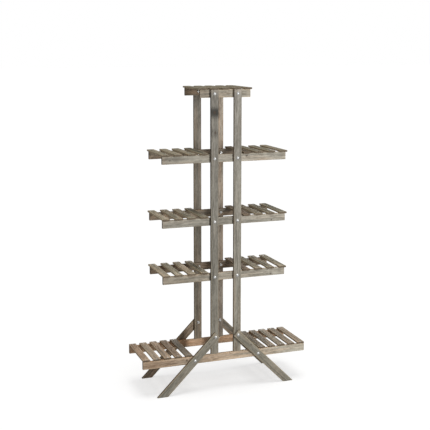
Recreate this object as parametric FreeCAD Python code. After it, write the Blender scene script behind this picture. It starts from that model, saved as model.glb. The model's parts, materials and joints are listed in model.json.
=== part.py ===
import FreeCAD, Part

import math
import os

from FreeCAD import Placement, Rotation, Vector

# A free-standing plant rack of bolted softwood boards, in millimetres, +Z up.
# The origin is on the floor, in the middle of the rack. The front is -Y.
# Four posts stand close together in the middle and carry five tiers of slats, and four splayed legs
# are bolted to the posts and to the bottom rails.

# The stock that posts, rails and legs are cut from
board_width = 36.0
board_thickness = 14.0
board_edge_bevel = 1.5

# The slats
slat_width = 34.0
slat_thickness = 8.0
slat_edge_bevel = 1.0
slat_to_post_gap = 12.0
# How far the outermost slats of an upper tier run past its rails' ends
slat_overhang = 3.0
top_slat_count = 5
middle_slats_each_side = 4
bottom_slats_each_side = 5

# The frame, seen from the front and from the side
frame_depth = 250.0
post_spacing = 111.0
top_rail_length = 242.0
middle_rail_length = 596.0
bottom_rail_length = 800.0
bottom_slat_group_width = 236.0

# The height of the lowest deck over the floor, and of each deck over the one below it
bottom_deck_height = 181.0
fourth_deck_rise = 382.0
third_deck_rise = 258.0
second_deck_rise = 288.0
top_deck_rise = 291.0

# The legs
leg_slope_degrees = 45.0
leg_bolt_height = 256.0
leg_end_past_bolt = 13.0

# The coach bolts, with their washers and nuts. What is small and round has twelve flats
bolt_diameter = 6.0
bolt_hole_clearance = 0.3
bolt_head_diameter = 15.0
bolt_head_height = 3.5
bolt_neck_width = 6.4
bolt_neck_length = 4.0
bolt_neck_clearance = 0.1
bolt_end_past_nut = 3.0
washer_diameter = 13.0
washer_thickness = 1.5
nut_across_flats = 10.0
nut_thickness = 5.0
nut_bore_clearance = 0.1
small_round_flats = 12
# The head's dome, from its rim to its crown, as shares of its radius and its height
dome_radius_shares = (1.0, 0.8, 0.4)
dome_height_shares = (0.0, 0.6, 1.0)

# How far a cutter runs past the face it cuts
overrun = 5.0

half_depth = frame_depth / 2
post_x = post_spacing / 2
rail_mid_drop = board_width / 2
leg_slope = math.radians(leg_slope_degrees)

deck_heights = {"bottom": bottom_deck_height}
deck_heights["fourth"] = deck_heights["bottom"] + fourth_deck_rise
deck_heights["third"] = deck_heights["fourth"] + third_deck_rise
deck_heights["second"] = deck_heights["third"] + second_deck_rise
deck_heights["top"] = deck_heights["second"] + top_deck_rise

rail_lengths = {
    "top": top_rail_length,
    "second": middle_rail_length,
    "third": middle_rail_length,
    "fourth": middle_rail_length,
    "bottom": bottom_rail_length,
}
upper_tiers = ["top", "second", "third", "fourth"]

# A side of the rack is -1 for left or front and 1 for right or back
x_sides = {"left": -1, "right": 1}
y_sides = {"front": -1, "back": 1}

pieces = {}


def rail_top(tier):
    return deck_heights[tier] - slat_thickness


def rail_middle(tier):
    return rail_top(tier) - rail_mid_drop


def leg_x(height):
    # The leg's middle line passes through the post's middle line at the upper bolt
    return post_x + (leg_bolt_height - height) / math.tan(leg_slope)


def eased_board(length, width, thickness, bevel):
    # Lies along X, centred on the origin, with its four long edges eased
    board = Part.makeBox(length, thickness, width, Vector(-length / 2, -thickness / 2, -width / 2))
    long_edges = [edge for edge in board.Edges if abs(edge.tangentAt(edge.FirstParameter).x) > 0.5]
    return board.makeChamfer(bevel, long_edges)


def regular_wire(radius, y, corner_count):
    # A closed outline round the Y axis, with one flat at the bottom
    corners = []
    for number in range(corner_count):
        angle = math.pi * (2 * number + 1) / corner_count - math.pi / 2
        corners.append(Vector(radius * math.cos(angle), y, radius * math.sin(angle)))
    return Part.makePolygon(corners + corners[:1])


def rod(radius, start, length, corner_count=small_round_flats):
    outline = Part.Face(regular_wire(radius, start, corner_count))
    return outline.extrude(Vector(0, length, 0))


def bolt_hole(x, z):
    reach = half_depth + board_thickness + overrun
    hole = rod(bolt_diameter / 2 + bolt_hole_clearance, -reach, 2 * reach)
    hole.translate(Vector(x, 0, z))
    return hole


def placed_on_side(shape, x, y, z, side):
    # A shape made for the front, where +Y points into the rack, is turned about for the back
    turn = 0 if side < 0 else 180
    moved = shape.copy()
    moved.Placement = Placement(Vector(x, y, z), Rotation(Vector(0, 0, 1), turn))
    return moved


def neck_socket(x, z, outer_y, side):
    # A square socket for the bolt's neck, cut inwards from the outer face at outer_y
    width = bolt_neck_width + 2 * bolt_neck_clearance
    depth = bolt_neck_length + bolt_neck_clearance
    socket = Part.makeBox(width, depth + overrun, width, Vector(-width / 2, -overrun, -width / 2))
    return placed_on_side(socket, x, outer_y, z, side)


def post_bolt_heights():
    return [rail_middle(tier) for tier in upper_tiers] + [leg_bolt_height]


def bolt_places():
    # The middle of each bolt on its board's outer face, as x, y and z, and its side of the rack
    places = []
    lower = rail_middle("bottom")
    for side in y_sides.values():
        leg_face = side * (half_depth + board_thickness)
        for hand in x_sides.values():
            for tier in upper_tiers:
                places.append((hand * post_x, side * half_depth, rail_middle(tier), side))
            places.append((hand * post_x, leg_face, leg_bolt_height, side))
            places.append((hand * leg_x(lower), leg_face, lower, side))
    return places


def make_posts():
    bottom = rail_top("bottom")
    top = rail_top("top")
    for side_name, side in y_sides.items():
        for hand_name, hand in x_sides.items():
            post = eased_board(top - bottom, board_width, board_thickness, board_edge_bevel)
            post.rotate(Vector(0, 0, 0), Vector(0, 1, 0), 90)
            middle_y = side * (half_depth - board_thickness / 2)
            post.translate(Vector(hand * post_x, middle_y, (top + bottom) / 2))
            for height in post_bolt_heights():
                post = post.cut(bolt_hole(hand * post_x, height))
            for tier in upper_tiers:
                post = post.cut(neck_socket(hand * post_x, rail_middle(tier), side * half_depth, side))
            pieces["post_%s_%s" % (side_name, hand_name)] = post


def make_legs():
    lower = rail_middle("bottom")
    foot_reach = leg_bolt_height / math.sin(leg_slope) + board_width / math.tan(leg_slope) + overrun
    floor_size = 4 * foot_reach
    floor = Part.makeBox(floor_size, floor_size, floor_size,
                         Vector(-floor_size / 2, -floor_size / 2, -floor_size))
    for side_name, side in y_sides.items():
        for hand_name, hand in x_sides.items():
            length = leg_end_past_bolt + foot_reach
            leg = eased_board(length, board_width, board_thickness, board_edge_bevel)
            leg.translate(Vector(length / 2 - leg_end_past_bolt, 0, 0))
            leg.rotate(Vector(0, 0, 0), Vector(0, 1, 0), leg_slope_degrees)
            if hand < 0:
                leg.rotate(Vector(0, 0, 0), Vector(0, 0, 1), 180)
            outer_y = side * (half_depth + board_thickness)
            leg.translate(Vector(hand * post_x, outer_y - side * board_thickness / 2, leg_bolt_height))
            leg = leg.cut(floor)
            for x, height in ((hand * post_x, leg_bolt_height), (hand * leg_x(lower), lower)):
                leg = leg.cut(bolt_hole(x, height))
                leg = leg.cut(neck_socket(x, height, outer_y, side))
            pieces["leg_%s_%s" % (side_name, hand_name)] = leg


def rail_layer(tier):
    # The upper rails lie inside the posts, and the bottom rails lie in the posts' own plane
    if tier == "bottom":
        return half_depth - board_thickness / 2
    return half_depth - 3 * board_thickness / 2


def rail_bolt_reach(tier):
    if tier == "bottom":
        return leg_x(rail_middle(tier))
    return post_x


def make_rails():
    for tier, length in rail_lengths.items():
        for side_name, side in y_sides.items():
            rail = eased_board(length, board_width, board_thickness, board_edge_bevel)
            rail.translate(Vector(0, side * rail_layer(tier), rail_middle(tier)))
            for hand in x_sides.values():
                rail = rail.cut(bolt_hole(hand * rail_bolt_reach(tier), rail_middle(tier)))
            pieces["rail_%s_%s" % (tier, side_name)] = rail


def slat_places(tier):
    # The middle of each slat along X, by the slat's name, counted inwards from the tier's end
    places = {}
    outermost = (rail_lengths[tier] - slat_width) / 2
    if tier != "bottom":
        outermost += slat_overhang
    if tier == "top":
        pitch = 2 * outermost / (top_slat_count - 1)
        for number in range(top_slat_count):
            places["slat_top_%d" % (number + 1)] = number * pitch - outermost
        return places
    if tier == "bottom":
        count = bottom_slats_each_side
        pitch = (bottom_slat_group_width - slat_width) / (count - 1)
    else:
        count = middle_slats_each_side
        innermost = post_x + (board_width + slat_width) / 2 + slat_to_post_gap
        pitch = (outermost - innermost) / (count - 1)
    for hand_name, hand in x_sides.items():
        for number in range(count):
            name = "slat_%s_%s_%d" % (tier, hand_name, number + 1)
            places[name] = hand * (outermost - number * pitch)
    return places


def make_slats():
    for tier in rail_lengths:
        middle_z = deck_heights[tier] - slat_thickness / 2
        for name, x in slat_places(tier).items():
            slat = eased_board(frame_depth, slat_width, slat_thickness, slat_edge_bevel)
            slat.rotate(Vector(0, 0, 0), Vector(1, 0, 0), 90)
            slat.rotate(Vector(0, 0, 0), Vector(0, 0, 1), 90)
            slat.translate(Vector(x, 0, middle_z))
            pieces[name] = slat


def coach_bolt():
    # The flat underside of its head is at y = 0, and it points along +Y
    length = 2 * board_thickness + washer_thickness + nut_thickness + bolt_end_past_nut
    dome = []
    for radius_share, height_share in zip(dome_radius_shares, dome_height_shares):
        radius = radius_share * bolt_head_diameter / 2
        dome.append(regular_wire(radius, -height_share * bolt_head_height, small_round_flats))
    head = Part.makeLoft(dome, True, True)
    neck_corner = Vector(-bolt_neck_width / 2, 0, -bolt_neck_width / 2)
    neck = Part.makeBox(bolt_neck_width, bolt_neck_length, bolt_neck_width, neck_corner)
    shank = rod(bolt_diameter / 2, bolt_neck_length, length - bolt_neck_length)
    return head.fuse([neck, shank])


def washer():
    start = 2 * board_thickness
    disc = rod(washer_diameter / 2, start, washer_thickness)
    return disc.cut(rod(bolt_diameter / 2 + bolt_hole_clearance, start, washer_thickness))


def hex_nut():
    start = 2 * board_thickness + washer_thickness
    hexagon = rod(nut_across_flats / 2 / math.cos(math.pi / 6), start, nut_thickness, 6)
    return hexagon.cut(rod(bolt_diameter / 2 + nut_bore_clearance, start, nut_thickness))


def make_fasteners():
    for name, shape in {"coach_bolts": coach_bolt(), "washers": washer(), "nuts": hex_nut()}.items():
        copies = [placed_on_side(shape, x, y, z, side) for x, y, z, side in bolt_places()]
        pieces[name] = Part.makeCompound(copies)


make_posts()
make_legs()
make_rails()
make_slats()
make_fasteners()

os.makedirs("parts", exist_ok=True)
for name, shape in pieces.items():
    shape.exportStep("parts/%s.step" % name)
print("%d nodes, %d solids" % (len(pieces), sum(len(shape.Solids) for shape in pieces.values())))
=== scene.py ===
import json
import math
import random

import bmesh
import bpy
from mathutils import Matrix, Vector, noise

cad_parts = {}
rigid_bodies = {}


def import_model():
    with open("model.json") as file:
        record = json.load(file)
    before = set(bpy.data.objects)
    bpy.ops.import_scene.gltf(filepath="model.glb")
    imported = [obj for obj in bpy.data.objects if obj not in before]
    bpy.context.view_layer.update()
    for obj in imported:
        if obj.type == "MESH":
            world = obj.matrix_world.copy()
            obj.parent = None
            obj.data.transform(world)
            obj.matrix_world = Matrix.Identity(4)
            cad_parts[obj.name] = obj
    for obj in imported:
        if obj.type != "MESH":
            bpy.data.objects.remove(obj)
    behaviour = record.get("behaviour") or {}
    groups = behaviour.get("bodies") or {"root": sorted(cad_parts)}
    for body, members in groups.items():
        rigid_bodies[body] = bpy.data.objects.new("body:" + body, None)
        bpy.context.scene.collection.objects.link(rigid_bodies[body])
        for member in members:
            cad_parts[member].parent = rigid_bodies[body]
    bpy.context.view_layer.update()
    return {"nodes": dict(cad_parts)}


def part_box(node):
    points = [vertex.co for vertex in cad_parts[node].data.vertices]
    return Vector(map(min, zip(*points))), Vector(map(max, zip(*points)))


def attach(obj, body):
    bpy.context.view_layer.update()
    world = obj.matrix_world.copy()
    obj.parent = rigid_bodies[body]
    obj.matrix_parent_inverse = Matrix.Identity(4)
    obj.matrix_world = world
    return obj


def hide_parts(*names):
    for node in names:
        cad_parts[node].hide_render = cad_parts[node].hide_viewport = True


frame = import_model()


# The four posts
# Each is a planed spruce board that stands on a bottom rail and carries every tier. The spruce was
# stained grey-brown and has dulled outdoors: the stain is uneven, and paler along worn edges, where a
# painted highlight adds to the wear.

edge_round = 0.002
end_round = 0.0007
edge_wear = 0.0004
knocks_per_metre = 45
station_gap = 0.03
hole_radius = 0.0033
hole_steps = 16
spare_reach = 0.002
same_place = 1e-6
smooth_bend = math.radians(35)
noise_reach = 50
nearest_pith = 0.008
farthest_pith = 0.035
smallest_knot = 0.002
largest_knot = 0.0045
no_change = (0, 0, 0)


def linear(hex_colour):
    # An sRGB colour such as "#808080" as linear red, green, blue and alpha
    channels = [int(hex_colour[start:start + 2], 16) / 255 for start in (1, 3, 5)]
    return [c / 12.92 if c <= 0.04045 else ((c + 0.055) / 1.055) ** 2.4 for c in channels] + [1.0]


def add_node(tree, kind, settings):
    # A setting is one of the node's own, or an input's by its name, identifier or number. A socket given as
    # a value is linked
    made = tree.nodes.new(kind)
    for name, value in settings.items():
        if isinstance(name, str) and hasattr(made, name):
            setattr(made, name, value)
            continue
        sockets = [socket for socket in made.inputs if name in (socket.identifier, socket.name)]
        socket = made.inputs[name] if isinstance(name, int) else sockets[0]
        if isinstance(value, bpy.types.NodeSocket):
            tree.links.new(value, socket)
        else:
            socket.default_value = value
    return made


def new_material(name):
    # A material, its node tree, and the shader that its output takes
    material = bpy.data.materials.new(name)
    material.use_nodes = True
    tree = material.node_tree
    tree.nodes.clear()
    shader = tree.nodes.new("ShaderNodeBsdfPrincipled")
    output = tree.nodes.new("ShaderNodeOutputMaterial")
    tree.links.new(shader.outputs[0], output.inputs[0])
    return material, tree, shader


def weathered_spruce():
    # Spruce has pale early wood and darker late wood in rings 3 mm apart. Planed flat, the rings show as
    # long flames on the faces and as arcs on the sawn ends.
    material, tree, shader = new_material("weathered_spruce")
    ring_gap = 0.003

    # The length and width of each pattern. Fibres are drawn 0.8 mm apart, coarser than the real ones, so
    # that they show
    fibre_size = (0.06, 0.0008)
    fleck_size = (0.016, 0.005)
    streak_size = (0.25, 0.011)
    patch_size = (0.09, 0.022)
    browning_size = (0.18, 0.016)
    blotch_size = (0.25, 0.12)
    ripple_size = (0.05, 0.02)
    wander_size = (0.3, 0.12)
    ripple_reach = 0.00125
    wander_reach = 0.011

    # The bands along a board's narrow sides, its worn edges and its ends: how far inwards each starts, and
    # how far inwards it is full. The side band and the sawn-end band also carry painted shade, and the worn
    # band a painted highlight
    side_band = (0.002, 0.0003)
    wear_and_highlight_band = (0.0045, 0.0015)
    worn_raggedness = 0.0015
    pale_end_band = (0.03, 0.0)
    end_stain_and_shade_band = (0.0009, 0.0003)

    # Half the thickness from which a board counts as thick, and that at which it counts as thin
    half_thick = 0.0065
    half_thin = 0.0045

    # The edges of a knot, of its cloud and of the swerve round it, in radii of the knot
    knot_band = (1.15, 0.6)
    cloud_band = (6.5, 1.0)
    swerve_band = (3.5, 0.4)
    knot_stretch = 1.5
    cloud_squeeze = 0.55
    clouded_radii = (0.004, 0.006)
    knot_ring_turns = 4000.0  # radians to a metre, so that a knot's own rings are 1.6 mm apart
    bump_height = 0.0003

    marks = {}
    for name in ("grain", "seed", "half_size", "pith", "look", "knot_1", "knot_2"):
        marks[name] = add_node(tree, "ShaderNodeAttribute", {"attribute_name": name}).outputs["Vector"]

    def parts_of(vector):
        return add_node(tree, "ShaderNodeSeparateXYZ", {"Vector": vector}).outputs

    def calculate(operation, first, second=0.0, third=0.0):
        settings = {"operation": operation, 0: first, 1: second, 2: third}
        return add_node(tree, "ShaderNodeMath", settings).outputs[0]

    def product(first, second):
        return calculate("MULTIPLY", first, second)

    def total(base, value, share=1.0):
        # The base and a share of the value
        return calculate("MULTIPLY_ADD", value, share, base)

    def distance(first, second):
        return calculate("SQRT", total(product(second, second), first, first))

    def remap(value, low, high, to_low=0.0, to_high=1.0):
        settings = {"interpolation_type": "SMOOTHSTEP", "Value": value, "From Min": low, "From Max": high,
                    "To Min": to_low, "To Max": to_high}
        return add_node(tree, "ShaderNodeMapRange", settings).outputs[0]

    def mix(share, first, second):
        settings = {"data_type": "RGBA", "Factor_Float": share, "A_Color": first, "B_Color": second}
        return add_node(tree, "ShaderNodeMix", settings).outputs[2]

    def streaks(length, width, detail):
        # Noise drawn out along the board, from -1 to 1
        scaled = add_node(tree, "ShaderNodeVectorMath", {
            "operation": "MULTIPLY_ADD", 0: marks["grain"], 1: (1 / length, 1 / width, 1 / width),
            2: marks["seed"]})
        settings = {"Vector": scaled.outputs[0], "Scale": 1.0, "Detail": detail, "Roughness": 0.55}
        noise_value = add_node(tree, "ShaderNodeTexNoise", settings).outputs[0]
        return calculate("MULTIPLY_ADD", noise_value, 2.0, -1.0)

    along, across, through = parts_of(marks["grain"])
    half_along, half_across, half_through = parts_of(marks["half_size"])
    brown, light, wear = parts_of(marks["look"])
    to_side = calculate("SUBTRACT", half_across, calculate("ABSOLUTE", across))
    to_face = calculate("SUBTRACT", half_through, calculate("ABSOLUTE", through))
    to_end = calculate("SUBTRACT", half_along, calculate("ABSOLUTE", along))

    # Each knot is a place along and across the board, and a radius. The stain pools in a dark cloud round
    # a large one
    knot_share = 0.0
    cloud_share = 0.0
    swerve = 0.0
    for name in ("knot_1", "knot_2"):
        knot_along, knot_across, knot_radius = parts_of(marks[name])
        off_along = calculate("SUBTRACT", along, knot_along)
        off_across = calculate("SUBTRACT", across, knot_across)
        reach = distance(calculate("DIVIDE", off_along, knot_stretch), off_across)
        radii = calculate("DIVIDE", reach, knot_radius)
        knot_share = calculate("MAXIMUM", knot_share, remap(radii, *knot_band))
        cloud_reach = distance(off_along, product(off_across, cloud_squeeze))
        cloud_radii = calculate("DIVIDE", cloud_reach, knot_radius)
        cloud = product(remap(cloud_radii, *cloud_band), remap(knot_radius, *clouded_radii, 0.0, 0.9))
        cloud_share = calculate("MAXIMUM", cloud_share, cloud)
        swerve = total(swerve, product(remap(radii, *swerve_band), knot_radius), 1.4)

    # The distance from the heart of the tree, which wanders along the board and swerves round the knots
    _, pith_across, pith_through = parts_of(marks["pith"])
    from_pith_across = calculate("SUBTRACT", across, pith_across)
    from_pith_through = calculate("SUBTRACT", through, pith_through)
    radius = distance(total(from_pith_across, streaks(*ripple_size, 2.0), ripple_reach),
                      total(from_pith_through, streaks(*wander_size, 1.0), wander_reach))
    ring = calculate("FRACT", calculate("DIVIDE", total(radius, swerve), ring_gap))
    late_wood = product(remap(ring, 0.45, 0.9), remap(ring, 1.0, 0.93))

    # The stain has faded unevenly along the grain, and least on the late wood
    fibre = streaks(*fibre_size, 2.0)
    patch = streaks(*patch_size, 2.0)
    fleck = streaks(*fleck_size, 2.0)
    fading = total(0.55, streaks(*streak_size, 3.0), 0.6)
    for layer, share in ((patch, 0.35), (fleck, 0.45), (fibre, 0.3), (late_wood, -0.25)):
        fading = total(fading, layer, share)
    faded = remap(fading, 0.0, 1.0)

    # The wood is grey where the stain took well, brown where it took badly, and orange at worst. The grey
    # is yellower on a worn board. The narrow sides are browner, and darker with painted shade for side
    # faces that the light misses
    side_browning_and_shade = remap(to_side, *side_band)
    browned = total(total(brown, streaks(*browning_size, 2.0), 0.6), side_browning_and_shade, 0.45)
    dark_grey = mix(wear, linear("#78736A"), linear("#787361"))
    pale_grey = mix(wear, linear("#B1ACA1"), linear("#B1AC95"))
    grey_wood = mix(faded, dark_grey, pale_grey)
    brown_wood = mix(faded, linear("#836A54"), linear("#CBB094"))
    colour = mix(remap(browned, 0.0, 1.0), grey_wood, brown_wood)
    colour = mix(remap(browned, 0.95, 1.5, 0.0, 0.8), colour, linear("#B07F58"))
    level = total(total(light, 1.0), streaks(*blotch_size, 1.0), 0.13)
    # Painted shade: the narrow sides are set darker
    level = total(level, side_browning_and_shade, -0.3)
    scaling = {"operation": "SCALE", 0: colour, "Scale": level}
    colour = add_node(tree, "ShaderNodeVectorMath", scaling).outputs[0]
    colour = mix(cloud_share, colour, linear("#2E2D29"))
    knot_rings = remap(calculate("SINE", product(radius, knot_ring_turns)), -1.0, 1.0, 0.55, 0.95)
    colour = mix(product(knot_share, knot_rings), colour, linear("#4E4135"))

    # Worn edges are paler, partly from real wear and partly as a painted highlight where the rounded edges
    # catch the light, and so is each board towards its ends. The sawn ends are darker, partly as end grain
    # drinks more stain and partly as painted shade for the shadow under the slats' overhanging ends, so the
    # thin slats' ends are darkest
    # Painted highlight, with real wear: a pale band along the rounded edges, set by each board's wear value
    to_edge = total(calculate("MAXIMUM", to_side, to_face), patch, worn_raggedness)
    colour = mix(product(remap(to_edge, *wear_and_highlight_band), wear), colour, linear("#CFC0A1"))
    colour = mix(remap(to_end, *pale_end_band, 0.0, 0.2), colour, linear("#CBB9A2"))
    # Painted shade, with real end grain: the ends are darkened, the thin slats' ends the most
    end_stain_and_shade_share = remap(half_through, half_thick, half_thin, 0.35, 0.85)
    colour = mix(product(remap(to_end, *end_stain_and_shade_band), end_stain_and_shade_share), colour, linear("#5F5142"))

    height = total(product(fibre, 0.4), late_wood, 0.6)
    bump = add_node(tree, "ShaderNodeBump", {"Strength": 0.5, "Distance": bump_height, "Height": height})
    tree.links.new(colour, shader.inputs["Base Color"])
    tree.links.new(remap(fibre, -0.6, 0.6, 0.62, 0.8), shader.inputs["Roughness"])
    tree.links.new(bump.outputs[0], shader.inputs["Normal"])
    shader.inputs["Specular IOR Level"].default_value = 0.25
    return material


wood = weathered_spruce()


def solids_in(node):
    # The lowest and highest corner of each separate solid in a node of like fasteners
    mesh = bmesh.new()
    mesh.from_mesh(frame["nodes"][node].data)
    bmesh.ops.remove_doubles(mesh, verts=mesh.verts, dist=same_place)
    left = set(mesh.verts)
    corners = []
    while left:
        found = {left.pop()}
        unvisited = list(found)
        while unvisited:
            beside = {other for edge in unvisited.pop().link_edges for other in edge.verts} & left
            left -= beside
            found |= beside
            unvisited.extend(beside)
        low = Vector([min(vert.co[axis] for vert in found) for axis in range(3)])
        high = Vector([max(vert.co[axis] for vert in found) for axis in range(3)])
        corners.append((low, high))
    mesh.free()
    return sorted(corners, key=lambda pair: tuple(pair[0]))


bolts = solids_in("coach_bolts")


def planed_board(length, width, thickness):
    # A board about the origin with its length along X, its four long edges rounded over and its ends sawn
    board = bmesh.new()
    bmesh.ops.create_cube(board, size=1.0, matrix=Matrix.Diagonal((length, width, thickness, 1.0)))
    long_edges = [edge for edge in board.edges if edge.verts[0].co.x * edge.verts[1].co.x < 0]
    bmesh.ops.bevel(board, geom=long_edges, offset=edge_round, offset_type="OFFSET", segments=4,
                    profile=0.5, affect="EDGES", material=-1)
    end_edges = [edge for edge in board.edges if edge.verts[0].co.x * edge.verts[1].co.x > 0]
    bmesh.ops.bevel(board, geom=end_edges, offset=end_round, offset_type="OFFSET", segments=2,
                    profile=0.5, affect="EDGES", material=-1)
    gaps = max(2, round(length / station_gap))
    for number in range(1, gaps):
        station = length * (number / gaps - 0.5)
        bmesh.ops.bisect_plane(board, geom=board.verts[:] + board.edges[:] + board.faces[:],
                               plane_co=(station, 0, 0), plane_no=(1, 0, 0))
    return board


def random_place(rng):
    # Where a board's noise is read, so that no two boards are alike
    return Vector([rng.uniform(-noise_reach, noise_reach) for _ in range(3)])


def worn_board(sizes, place, rng):
    # A board's mesh in its place. Knocks have worn its long edges back a little, more in some places than
    # in others
    length, width, thickness = sizes
    board = planed_board(length, width, thickness)
    seed = random_place(rng)
    for vert in board.verts:
        to_edge = max(width / 2 - abs(vert.co.y), thickness / 2 - abs(vert.co.z))
        if to_edge < edge_round:
            knock = noise.noise(vert.co * knocks_per_metre + seed)
            wear = edge_wear * max(0.0, knock) * (1 - to_edge / edge_round)
            vert.co.y -= math.copysign(wear, vert.co.y)
            vert.co.z -= math.copysign(wear, vert.co.z)
    board.transform(place)
    return board


def new_piece(name, mesh):
    data = bpy.data.meshes.new(name)
    mesh.to_mesh(data)
    mesh.free()
    piece = bpy.data.objects.new(name, data)
    bpy.context.scene.collection.objects.link(piece)
    return piece


def cut_away(piece, cutters):
    # Takes the cutters' shapes out of the piece
    cutter = new_piece("cutter", cutters)
    cut = piece.modifiers.new("cut", "BOOLEAN")
    cut.operation = "DIFFERENCE"
    cut.solver = "EXACT"
    cut.object = cutter
    whole = piece.data
    piece.data = bpy.data.meshes.new_from_object(piece.evaluated_get(bpy.context.evaluated_depsgraph_get()))
    piece.data.name = whole.name
    piece.modifiers.remove(cut)
    bpy.data.meshes.remove(whole)
    bpy.data.objects.remove(cutter)


def bolt_bores(low, high):
    # A cutter for each bolt whose axis crosses the board's box
    cutters = bmesh.new()
    for bolt_low, bolt_high in bolts:
        middle = (bolt_low + bolt_high) / 2
        if not (low.x < middle.x < high.x and low.z < middle.z < high.z):
            continue
        if bolt_high.y < low.y or bolt_low.y > high.y:
            continue
        board_middle = Vector((middle.x, (low.y + high.y) / 2, middle.z))
        place = Matrix.Translation(board_middle) @ Matrix.Rotation(math.pi / 2, 4, "X")
        bmesh.ops.create_cone(cutters, cap_ends=True, segments=hole_steps, radius1=hole_radius,
                              radius2=hole_radius, depth=high.y - low.y + 2 * spare_reach, matrix=place)
    return cutters


def mark_grain(piece, place, sizes, rng, look, knots, end_change=no_change):
    # What the wood's pattern follows: each point's place in its board, and the board's own character. The
    # look may change towards the end that its X points to
    to_board = place.inverted()
    mesh = piece.data
    half = Vector(sizes) / 2
    pith_across = rng.uniform(-0.3, 0.3) * sizes[1]
    pith_through = rng.choice((-1, 1)) * rng.uniform(nearest_pith, farthest_pith)
    seed = random_place(rng)
    no_knot = (0.0, 1.0, 0.0001)  # a metre off to the side
    knots = (list(knots) + [no_knot, no_knot])[:2]
    values = {"half_size": half, "pith": (0.0, pith_across, pith_through), "seed": seed,
              "knot_1": knots[0], "knot_2": knots[1]}
    for name, value in values.items():
        marks = mesh.attributes.new(name, "FLOAT_VECTOR", "POINT")
        marks.data.foreach_set("vector", list(value) * len(mesh.vertices))
    for name in ("grain", "look"):
        mesh.attributes.new(name, "FLOAT_VECTOR", "POINT")
    grain, looks = mesh.attributes["grain"], mesh.attributes["look"]
    for vertex in mesh.vertices:
        spot = to_board @ vertex.co
        share = spot.x / sizes[0] + 0.5
        grain.data[vertex.index].vector = spot
        looks.data[vertex.index].vector = Vector(look) + Vector(end_change) * share


def random_knots(rng, sizes, chance, largest):
    # Small sound knots, at most one to each half of the board
    knots = []
    for side in (-1, 1):
        if rng.random() < chance:
            along = side * rng.uniform(0.08, 0.45) * sizes[0]
            across = rng.uniform(-0.3, 0.3) * sizes[1]
            knots.append((along, across, rng.uniform(smallest_knot, largest)))
    return knots


def varied(rng, look):
    # No two boards took the stain alike
    brown, light, wear = look
    return (brown + rng.uniform(-0.1, 0.1), light + rng.uniform(-0.05, 0.05), wear)


def finish_piece(piece, material, node=None):
    # Rounds the shading of shallow bends, and gives the piece its material and its place in the frame
    piece.data.shade_smooth()
    piece.data.set_sharp_from_angle(angle=smooth_bend)
    piece.data.materials.clear()
    piece.data.materials.append(material)
    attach(piece, "root")
    if node:
        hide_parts(node)


def place_of(middle, along, across):
    # Sends a board's own X to along, its Y to across, and its origin to middle
    turn = Matrix((along, across, along.cross(across))).transposed()
    return Matrix.Translation(middle) @ turn.to_4x4()


def make_board(node, along, across, cutters, look, knots=None, end_change=no_change):
    # A board of the node's own size and place, whose sides lie along the axes
    rng = random.Random(node)
    low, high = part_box(node)
    sizes = [abs((high - low).dot(way)) for way in (along, across, along.cross(across))]
    place = place_of((low + high) / 2, along, across)
    piece = new_piece(node + "_board", worn_board(sizes, place, rng))
    cut_away(piece, cutters)
    if knots is None:
        knots = random_knots(rng, sizes, 0.4, largest_knot)
    mark_grain(piece, place, sizes, rng, varied(rng, look), knots, end_change)
    finish_piece(piece, wood, node)


x_axis, y_axis, z_axis = Vector((1, 0, 0)), Vector((0, 1, 0)), Vector((0, 0, 1))

# How brown each board is, how much lighter or darker than usual, and how worn, and how that changes towards
# its upper or right end. Where noted, the darkness is painted shade
# The back posts are set darker than the front ones, and the back right post has no pale worn edges: painted
# shade
post_looks = {
    "post_front_left": (0.0, -0.33, 0.3),
    "post_front_right": (0.12, -0.07, 0.3),
    "post_back_left": (0.4, -0.43, 0.4),
    "post_back_right": (0.32, -0.2, 0.0),
}
post_knots = {
    "post_front_left": [(0.508, -0.001, 0.0058), (0.418, 0.002, 0.0049)],
}
# The back right post grows much darker towards its foot: painted shade
post_top_changes = {
    "post_front_left": (-0.12, 0.04, -0.3),
    "post_front_right": (-0.22, 0.09, -0.3),
    "post_back_left": (-0.15, 0.09, -0.4),
    "post_back_right": (0.1, 0.46, 0.0),
}
for node, look in post_looks.items():
    make_board(node, z_axis, x_axis, bolt_bores(*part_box(node)), look, post_knots.get(node),
               post_top_changes.get(node, no_change))


# The ten rails
# Boards like the posts, two to a tier, on edge under the slats' ends. The upper ones are bolted to the
# posts' inner faces. The bottom pair is browner, and lies in the posts' own plane.

# The upper back rails are set browner than the front ones, the top and fourth ones darker, and the second
# and third darker towards their right ends: painted shade
rail_looks = {
    "rail_top_front": (0.1, -0.24, 0.3),
    "rail_top_back": (0.6, -0.38, 0.1),
    "rail_second_front": (0.15, 0.0, 0.15),
    "rail_second_back": (0.6, 0.05, 0.1),
    "rail_third_front": (0.1, 0.08, 0.15),
    "rail_third_back": (0.6, 0.1, 0.1),
    "rail_fourth_front": (0.22, 0.0, 0.35),
    "rail_fourth_back": (0.6, -0.4, 0.1),
    "rail_bottom_front": (1.0, 0.02, 0.3),
    "rail_bottom_back": (1.15, 0.5, 0.3),
}
rail_right_changes = {
    "rail_top_front": (0.1, 0.52, 0.0),
    "rail_second_front": (0.0, 0.19, 0.0),
    "rail_second_back": (0.0, -0.5, 0.0),
    "rail_third_front": (-0.05, -0.05, 0.0),
    "rail_third_back": (0.0, -0.5, 0.0),
    "rail_fourth_front": (-0.1, 0.33, -0.2),
    "rail_bottom_front": (-0.72, 0.53, 0.0),
    "rail_bottom_back": (0.0, -0.4, 0.0),
}
for node, look in rail_looks.items():
    make_board(node, x_axis, z_axis, bolt_bores(*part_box(node)), look,
               end_change=rail_right_changes.get(node, no_change))


# The slats
# Thinner boards that lie across each pair of rails, with gaps for water to run off. Each is held by two
# screws, over the middle of its rails, whose heads are sunk into its top face.

screw_head_radius = 0.0035
screw_head_height = 0.0022
sink_depth = 0.0003
sink_spare = 0.0003
sink_steps = 24
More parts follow.
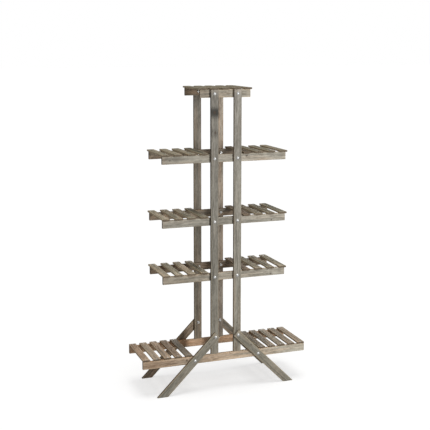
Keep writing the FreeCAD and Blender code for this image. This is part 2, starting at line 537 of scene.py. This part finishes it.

# The look of each group of slats, and of a slat that differs from its group. The inmost slats beside the
# posts are set darker, and on the right also browner and less worn: painted shade
slat_looks = {
    "slat_top": (0.15, 0.13, 0.9),
    "slat_second_left": (0.2, 0.2, 0.9),
    "slat_second_left_4": (0.2, 0.0, 0.9),
    "slat_second_right": (0.2, 0.1, 0.9),
    "slat_second_right_4": (0.7, -0.42, 0.4),
    "slat_third_left": (0.35, 0.48, 0.9),
    "slat_third_left_4": (0.25, 0.05, 0.9),
    "slat_third_right": (0.2, 0.05, 0.9),
    "slat_third_right_4": (0.7, -0.42, 0.4),
    "slat_fourth_left": (0.3, 0.75, 0.9),
    "slat_fourth_left_4": (0.2, 0.35, 0.9),
    "slat_fourth_right": (0.25, 0.28, 0.9),
    "slat_fourth_right_4": (0.7, -0.38, 0.4),
    "slat_bottom_left_1": (0.85, 0.1, 0.4),
    "slat_bottom_left_2": (0.6, 0.3, 0.5),
    "slat_bottom_left_3": (0.7, 0.2, 0.5),
    "slat_bottom_left_4": (0.75, -0.02, 0.4),
    "slat_bottom_left_5": (0.4, -0.28, 0.3),
    "slat_bottom_right_1": (0.5, -0.02, 0.5),
    "slat_bottom_right_2": (0.5, -0.07, 0.5),
    "slat_bottom_right_3": (0.35, 0.02, 0.5),
    "slat_bottom_right_4": (0.35, 0.0, 0.4),
    "slat_bottom_right_5": (0.5, -0.3, 0.6),
}


def screw_places(node):
    # The middle of each screw's head, on the slat's top face
    low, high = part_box(node)
    tier = node.split("_")[1]
    places = []
    for side in ("front", "back"):
        rail_low, rail_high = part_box("rail_%s_%s" % (tier, side))
        places.append(Vector(((low.x + high.x) / 2, (rail_low.y + rail_high.y) / 2, high.z)))
    return places


def screw_sinks(places):
    # A cone to cut down into the slat for each head, a little wider than the head all round
    cutters = bmesh.new()
    reach = sink_depth + screw_head_height + sink_spare
    height = reach + spare_reach
    foot_radius = screw_head_radius / 2
    for place in places:
        middle = Matrix.Translation(place + Vector((0, 0, (spare_reach - reach) / 2)))
        bmesh.ops.create_cone(cutters, cap_ends=True, segments=sink_steps, radius1=foot_radius,
                              radius2=foot_radius + foot_radius / screw_head_height * height,
                              depth=height, matrix=middle)
    return cutters


slats = [node for node in sorted(frame["nodes"]) if node.startswith("slat_")]
for node in slats:
    look = slat_looks.get(node) or slat_looks[node.rpartition("_")[0]]
    make_board(node, y_axis, x_axis, screw_sinks(screw_places(node)), look)


# The four legs
# Boards like the posts, at 45 degrees, bolted to the outer faces of a post and a bottom rail. Each has a
# square upper end and a foot sawn level.

leg_slope = math.radians(45)
largest_leg_knot = 0.003
leg_looks = {
    "leg_front_left": (0.07, -0.17, 0.35),
    "leg_front_right": (0.14, -0.16, 0.4),
    "leg_back_left": (0.5, -0.25, 0.4),
    "leg_back_right": (0.4, -0.3, 0.3),
}


def make_leg(node, look):
    # Its slope and its box give its place. It starts a little too long, and is cut off at the floor
    rng = random.Random(node)
    low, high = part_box(node)
    post_low, post_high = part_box("post_front_right")
    width = post_high.x - post_low.x
    hand = 1 if high.x > -low.x else -1
    along = Vector((hand * math.cos(leg_slope), 0, -math.sin(leg_slope)))
    across = Vector((hand * math.sin(leg_slope), 0, math.cos(leg_slope)))
    foot_x = max(high.x, -low.x) - width / 2 / math.sin(leg_slope)
    end_z = high.z - width / 2 * math.cos(leg_slope)
    end_x = foot_x - end_z / math.tan(leg_slope)
    length = end_z / math.sin(leg_slope) + width + spare_reach
    sizes = [length, width, high.y - low.y]
    middle = Vector((hand * end_x, (low.y + high.y) / 2, end_z)) + along * length / 2
    place = place_of(middle, along, across)
    board = worn_board(sizes, place, rng)
    bmesh.ops.bisect_plane(board, geom=board.verts[:] + board.edges[:] + board.faces[:],
                           plane_co=(0, 0, 0), plane_no=(0, 0, -1), clear_outer=True)
    bmesh.ops.holes_fill(board, edges=[edge for edge in board.edges if edge.is_boundary])
    bmesh.ops.recalc_face_normals(board, faces=board.faces)
    piece = new_piece(node + "_board", board)
    cut_away(piece, bolt_bores(low, high))
    look = varied(rng, look)
    mark_grain(piece, place, sizes, rng, look, random_knots(rng, sizes, 0.5, largest_leg_knot))
    finish_piece(piece, wood, node)


for node, look in leg_looks.items():
    make_leg(node, look)


# The coach bolts
# Steel bolts with bright zinc plate. A low domed head lies on the outer face of each post and leg, and
# the threaded end stands out of its nut inside the rack. The square neck is out of sight in the wood.

head_radius = 0.0075
head_height = 0.0035
head_rim = 0.0005
dome_steps = 8
shank_radius = 0.003
thread_pitch = 0.001
thread_depth = 0.0004
thread_turns = 12
round_steps = 24


def zinc_plate():
    # Clean and blue-white, with slight clouds where the plate is duller
    material, tree, shader = new_material("zinc_plate")
    clouds_per_metre = 500.0
    place = add_node(tree, "ShaderNodeTexCoord", {}).outputs["Object"]
    clouds = {"Vector": place, "Scale": clouds_per_metre, "Detail": 2.0}
    cloud = add_node(tree, "ShaderNodeTexNoise", clouds).outputs[0]
    dulling = {"Value": cloud, "From Min": 0.3, "From Max": 0.7, "To Min": 0.45, "To Max": 0.6}
    dull = add_node(tree, "ShaderNodeMapRange", dulling).outputs[0]
    shader.inputs["Base Color"].default_value = linear("#D6D6D4")
    shader.inputs["Metallic"].default_value = 1.0
    tree.links.new(dull, shader.inputs["Roughness"])
    return material


zinc = zinc_plate()


def spun(outline):
    # A turned shape about the Y axis, from an outline of radii and places along Y
    mesh = bmesh.new()
    verts = [mesh.verts.new((radius, place, 0)) for radius, place in outline]
    edges = [mesh.edges.new(pair) for pair in zip(verts, verts[1:])]
    bmesh.ops.spin(mesh, geom=verts + edges, axis=(0, 1, 0), cent=(0, 0, 0), angle=2 * math.pi,
                   steps=round_steps, use_merge=True)
    bmesh.ops.remove_doubles(mesh, verts=mesh.verts, dist=same_place)
    bmesh.ops.recalc_face_normals(mesh, faces=mesh.faces)
    return mesh


def coach_bolt(length):
    # Its crown is at the origin, and it points along +Y
    dome_height = head_height - head_rim
    ball_radius = (head_radius ** 2 + dome_height ** 2) / 2 / dome_height
    rim_angle = math.asin(head_radius / ball_radius)
    outline = []
    for number in range(dome_steps + 1):
        angle = rim_angle * number / dome_steps
        outline.append((ball_radius * math.sin(angle), ball_radius * (1 - math.cos(angle))))
    thread_start = length - (thread_turns + 0.5) * thread_pitch
    outline += [(head_radius, head_height), (shank_radius, head_height), (shank_radius, thread_start)]
    for turn in range(thread_turns):
        crest = thread_start + turn * thread_pitch
        outline.append((shank_radius - thread_depth, crest + thread_pitch / 2))
        outline.append((shank_radius, crest + thread_pitch))
    outline += [(shank_radius - thread_depth, length), (0, length)]
    return spun(outline)


def add_copy(whole, template, place):
    start = len(whole.verts)
    whole.from_mesh(template)
    whole.verts.ensure_lookup_table()
    bmesh.ops.transform(whole, matrix=place, verts=whole.verts[start:])


def copies(template, corners):
    # A copy in each box of the corners, turned about for the back of the rack
    whole = bmesh.new()
    for low, high in corners:
        front = high.y < 0
        place = Matrix.Translation(((low.x + high.x) / 2, low.y if front else high.y, (low.z + high.z) / 2))
        add_copy(whole, template, place @ Matrix.Rotation(0 if front else math.pi, 4, "Z"))
    return whole


def make_fasteners(node, template_mesh):
    template = bpy.data.meshes.new(node)
    template_mesh.to_mesh(template)
    template_mesh.free()
    piece = new_piece(node + "_made", copies(template, solids_in(node)))
    bpy.data.meshes.remove(template)
    finish_piece(piece, zinc, node)


bolt_low, bolt_high = bolts[0]
make_fasteners("coach_bolts", coach_bolt(bolt_high.y - bolt_low.y))


# The washers
# Plain punched washers of the same zinc-plated steel, between the inner board and the nut.

washer_radius = 0.0064
washer_hole_radius = 0.0032
washer_edge = 0.0002

washer_low, washer_high = solids_in("washers")[0]
washer_height = washer_high.y - washer_low.y
make_fasteners("washers", spun([
    (washer_hole_radius, 0), (washer_radius - washer_edge, 0), (washer_radius, washer_edge),
    (washer_radius, washer_height - washer_edge), (washer_radius - washer_edge, washer_height),
    (washer_hole_radius, washer_height), (washer_hole_radius, 0)]))


# The nuts
# Hexagon nuts, 10 mm across the flats, with their corners turned off. They stand on the washers.

nut_across_flats = 0.01
nut_corner_cut = 0.0006
nut_hole_radius = 0.00305

nut_low, nut_high = solids_in("nuts")[0]
nut_height = nut_high.y - nut_low.y
nut_mesh = bmesh.new()
lying = Matrix.Translation((0, nut_height / 2, 0)) @ Matrix.Rotation(math.pi / 2, 4, "X")
corner_radius = nut_across_flats / 2 / math.cos(math.pi / 6)
bmesh.ops.create_cone(nut_mesh, cap_ends=True, segments=6, radius1=corner_radius, radius2=corner_radius,
                      depth=nut_height, matrix=lying)
bmesh.ops.bevel(nut_mesh, geom=nut_mesh.verts[:], offset=nut_corner_cut, offset_type="OFFSET", segments=1,
                profile=0.5, affect="VERTICES", material=-1)
nut_blank = new_piece("nut_blank", nut_mesh)
bore = bmesh.new()
bmesh.ops.create_cone(bore, cap_ends=True, segments=round_steps, radius1=nut_hole_radius,
                      radius2=nut_hole_radius, depth=nut_height + 2 * spare_reach, matrix=lying)
cut_away(nut_blank, bore)
nut_mesh = bmesh.new()
nut_mesh.from_mesh(nut_blank.data)
bpy.data.objects.remove(nut_blank)
make_fasteners("nuts", nut_mesh)


# The slats' screws
# Countersunk wood screws with a cross recess, of the same zinc-plated steel, one at each end of a slat.

recess_length = 0.0036
recess_width = 0.0008
recess_depth = 0.0012


def make_screw_head():
    # The middle of the slat's top face above it is at the origin
    mesh = bmesh.new()
    bmesh.ops.create_cone(mesh, cap_ends=True, segments=round_steps, radius1=screw_head_radius / 2,
                          radius2=screw_head_radius, depth=screw_head_height,
                          matrix=Matrix.Translation((0, 0, -sink_depth - screw_head_height / 2)))
    head = new_piece("screw_head", mesh)
    for length, width in ((recess_length, recess_width), (recess_width, recess_length)):
        recess = bmesh.new()
        bmesh.ops.create_cube(recess, size=1.0, matrix=Matrix.Translation((0, 0, -sink_depth))
                              @ Matrix.Diagonal((length, width, 2 * recess_depth, 1.0)))
        cut_away(head, recess)
    return head


def make_screws():
    # Each was driven home at its own turn
    rng = random.Random("screws")
    head = make_screw_head()
    screws = bmesh.new()
    for node in slats:
        for place in screw_places(node):
            turn = Matrix.Rotation(rng.uniform(0, math.pi), 4, "Z")
            add_copy(screws, head.data, Matrix.Translation(place) @ turn)
    bpy.data.objects.remove(head)
    finish_piece(new_piece("slat_screws", screws), zinc)


make_screws()


# The floor, the light and the camera
# A white floor and backdrop. The key light is low, from the front and the right, and a weaker one stands
# behind. A broad light hangs over the rack, and the world fills in the rest.

floor_reach = 60
floor_glow = 0.65
world_light = 0.15

floor_mesh = bmesh.new()
bmesh.ops.create_grid(floor_mesh, x_segments=1, y_segments=1, size=floor_reach)
floor = new_piece("floor", floor_mesh)
floor_material, tree, shader = new_material("white_floor")
shader.inputs["Base Color"].default_value = linear("#D8D8D8")
shader.inputs["Roughness"].default_value = 0.9
shader.inputs["Specular IOR Level"].default_value = 0.0
shader.inputs["Emission Color"].default_value = (1, 1, 1, 1)
seen = add_node(tree, "ShaderNodeLightPath", {}).outputs["Is Camera Ray"]
glow = add_node(tree, "ShaderNodeMath", {"operation": "MULTIPLY", 0: seen, 1: floor_glow}).outputs[0]
tree.links.new(glow, shader.inputs["Emission Strength"])
floor.data.materials.append(floor_material)

world = bpy.data.worlds.new("studio")
bpy.context.scene.world = world
world.use_nodes = True
tree = world.node_tree
tree.nodes.clear()
seen = add_node(tree, "ShaderNodeLightPath", {}).outputs["Is Camera Ray"]
brightness = {"Value": seen, "To Min": world_light, "To Max": 1.0}
strength = add_node(tree, "ShaderNodeMapRange", brightness).outputs[0]
sky = add_node(tree, "ShaderNodeBackground", {"Color": (1, 1, 1, 1), "Strength": strength}).outputs[0]
add_node(tree, "ShaderNodeOutputWorld", {"Surface": sky})


def add_lamp(name, kind, energy):
    lamp = bpy.data.objects.new(name, bpy.data.lights.new(name, kind))
    lamp.data.energy = energy
    bpy.context.scene.collection.objects.link(lamp)
    return lamp


# These two light the rack alone, so the white floor stays even
side_lamp_height = 1.6
side_lamp_aim = Vector((0, 0, 0.75))
rack = bpy.data.collections.new("rack")
for piece in bpy.context.scene.objects:
    if piece.type == "MESH" and piece != floor:
        rack.objects.link(piece)


def add_side_lamp(name, energy, width, location):
    lamp = add_lamp(name, "AREA", energy)
    lamp.data.shape = "RECTANGLE"
    lamp.data.size = width
    lamp.data.size_y = side_lamp_height
    lamp.location = location
    lamp.rotation_mode = "QUATERNION"
    lamp.rotation_quaternion = (lamp.location - side_lamp_aim).to_track_quat("Z", "Y")
    lamp.light_linking.receiver_collection = rack


add_side_lamp("key", 49, 0.28, (0.74, -2.53, 1.25))
add_side_lamp("back", 22, 1.0, (0.9, 2.5, 0.5))

overhead = add_lamp("overhead", "SUN", 1.3)
overhead.data.angle = math.radians(32)
overhead.rotation_euler = (math.radians(5), math.radians(1), 0)

# The camera's place, turn and lens were fitted to the edges and bolts in the photo
image_width = 430
focal_length_in_pixels = 910.75
sensor_width = 36
camera_data = bpy.data.cameras.new("camera")
camera = bpy.data.objects.new("camera", camera_data)
bpy.context.scene.collection.objects.link(camera)
bpy.context.scene.camera = camera
camera.location = (-1.4446, -3.9339, 1.5855)
camera.rotation_euler = (math.radians(90 - 8.704), 0, math.radians(-20.045))
camera_data.sensor_width = sensor_width
camera_data.lens = focal_length_in_pixels / image_width * sensor_width
camera_data.shift_y = -0.0698
bpy.context.scene.view_settings.view_transform = "Standard"
